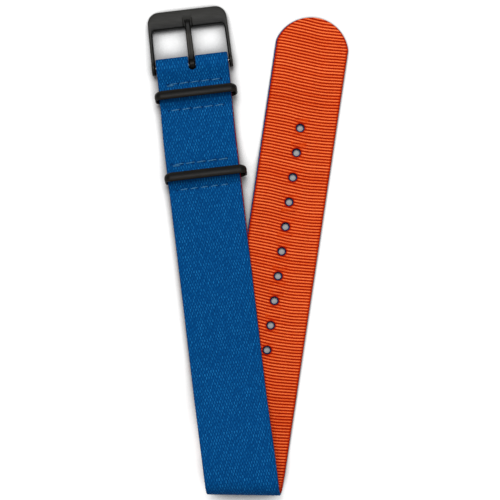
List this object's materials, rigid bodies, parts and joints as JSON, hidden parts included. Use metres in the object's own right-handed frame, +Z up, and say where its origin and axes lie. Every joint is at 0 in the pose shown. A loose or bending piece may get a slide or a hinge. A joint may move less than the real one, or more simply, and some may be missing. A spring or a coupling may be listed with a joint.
{
  "type": "watch strap",
  "caption": "Slip-through woven watch strap, blue face and orange ribbed lining, folded in a V, with spring-bar buckle, keeper rings and punched tail.",
  "frame": {"origin": "middle of the strap's footprint, on the table that it lies on", "axes": "+Y from the fold towards the buckle and the tail's tip, +X to the right when seen from above, +Z up from the table"},
  "size_m": [0.0558, 0.1358, 0.0097],
  "materials": {
    "face_webbing": "woven nylon, herringbone",
    "lining_webbing": "woven nylon, ribbed",
    "thread": "twisted polyester thread",
    "buckle_metal": "satin black coating",
    "ring_metal": "satin black coating",
    "spring_bar_steel": "turned steel"
  },
  "bodies": {
    "tail_half": {"face_webbing_tail_half": "face_webbing", "lining_webbing_tail_half": "lining_webbing"},
    "strap_fold": {"face_webbing_fold": "face_webbing", "lining_webbing_fold": "lining_webbing"},
    "buckle_half": {"face_webbing_ramp": "face_webbing", "lining_webbing_ramp": "lining_webbing", "face_webbing_buckle_half": "face_webbing", "lining_webbing_buckle_half": "lining_webbing", "face_webbing_loop": "face_webbing", "lining_webbing_loop": "lining_webbing", "face_webbing_tuck": "face_webbing", "lining_webbing_tuck": "lining_webbing", "spring_bar_tube": "spring_bar_steel", "spring_bar_spring": "spring_bar_steel", "needle_thread_row_1": "thread", "needle_thread_row_2": "thread", "needle_thread_row_3": "thread", "needle_thread_row_4": "thread", "bobbin_thread_row_1": "thread", "bobbin_thread_row_2": "thread", "bobbin_thread_row_3": "thread", "bobbin_thread_row_4": "thread"},
    "buckle_frame": {"buckle_frame": "buckle_metal"},
    "buckle_tongue": {"buckle_tongue": "buckle_metal"},
    "keeper_ring_front": {"keeper_ring_front": "ring_metal"},
    "keeper_ring_rear": {"keeper_ring_rear": "ring_metal"},
    "spring_bar_tip_left": {"spring_bar_tip_left": "spring_bar_steel"},
    "spring_bar_tip_right": {"spring_bar_tip_right": "spring_bar_steel"}
  },
  "joints": [
    {"name": "strap_fold_lower", "type": "hinge", "parent": "tail_half", "child": "strap_fold", "pos_m": [-0.00102, -0.06618, 0.00155], "axis": [0.9999, -0.0148, 0], "range_deg": [0, 80], "deforming": ["face_webbing_fold", "lining_webbing_fold"]},
    {"name": "strap_fold_upper", "type": "hinge", "parent": "strap_fold", "child": "buckle_half", "pos_m": [-0.00102, -0.06618, 0.00815], "axis": [0.9999, -0.0148, 0], "range_deg": [0, 80]},
    {"name": "buckle_frame_swing", "type": "hinge", "parent": "buckle_half", "child": "buckle_frame", "pos_m": [-0.0155, 0.05152, 0.0025], "axis": [0.993, 0.1184, 0], "range_deg": [0, 45]},
    {"name": "buckle_tongue_swing", "type": "hinge", "parent": "buckle_frame", "child": "buckle_tongue", "pos_m": [-0.0155, 0.05152, 0.0025], "axis": [0.993, 0.1184, 0], "range_deg": [0, 65]},
    {"name": "keeper_ring_front_rock", "type": "hinge", "parent": "buckle_half", "child": "keeper_ring_front", "pos_m": [-0.01428, 0.0422, 0.00225], "axis": [0.993, 0.1184, 0], "range_deg": [-32, 68]},
    {"name": "keeper_ring_rear_rock", "type": "hinge", "parent": "buckle_half", "child": "keeper_ring_rear", "pos_m": [-0.01161, 0.01976, 0.00225], "axis": [0.993, 0.1184, 0], "range_deg": [-32, 68]},
    {"name": "spring_bar_tip_left_press", "type": "slide", "parent": "buckle_half", "child": "spring_bar_tip_left", "axis": [0.993, 0.1184, 0], "range_m": [0, 0.001], "stiffness_N_per_m": 600, "springref_m": -0.0005, "deforming": ["spring_bar_spring"]},
    {"name": "spring_bar_tip_right_press", "type": "slide", "parent": "buckle_half", "child": "spring_bar_tip_right", "axis": [-0.993, -0.1184, 0], "range_m": [0, 0.001], "stiffness_N_per_m": 600, "springref_m": -0.0005}
  ],
  "couplings": [
    {"joint": "strap_fold_upper", "follows": "strap_fold_lower", "ratio": 1}
  ]
}
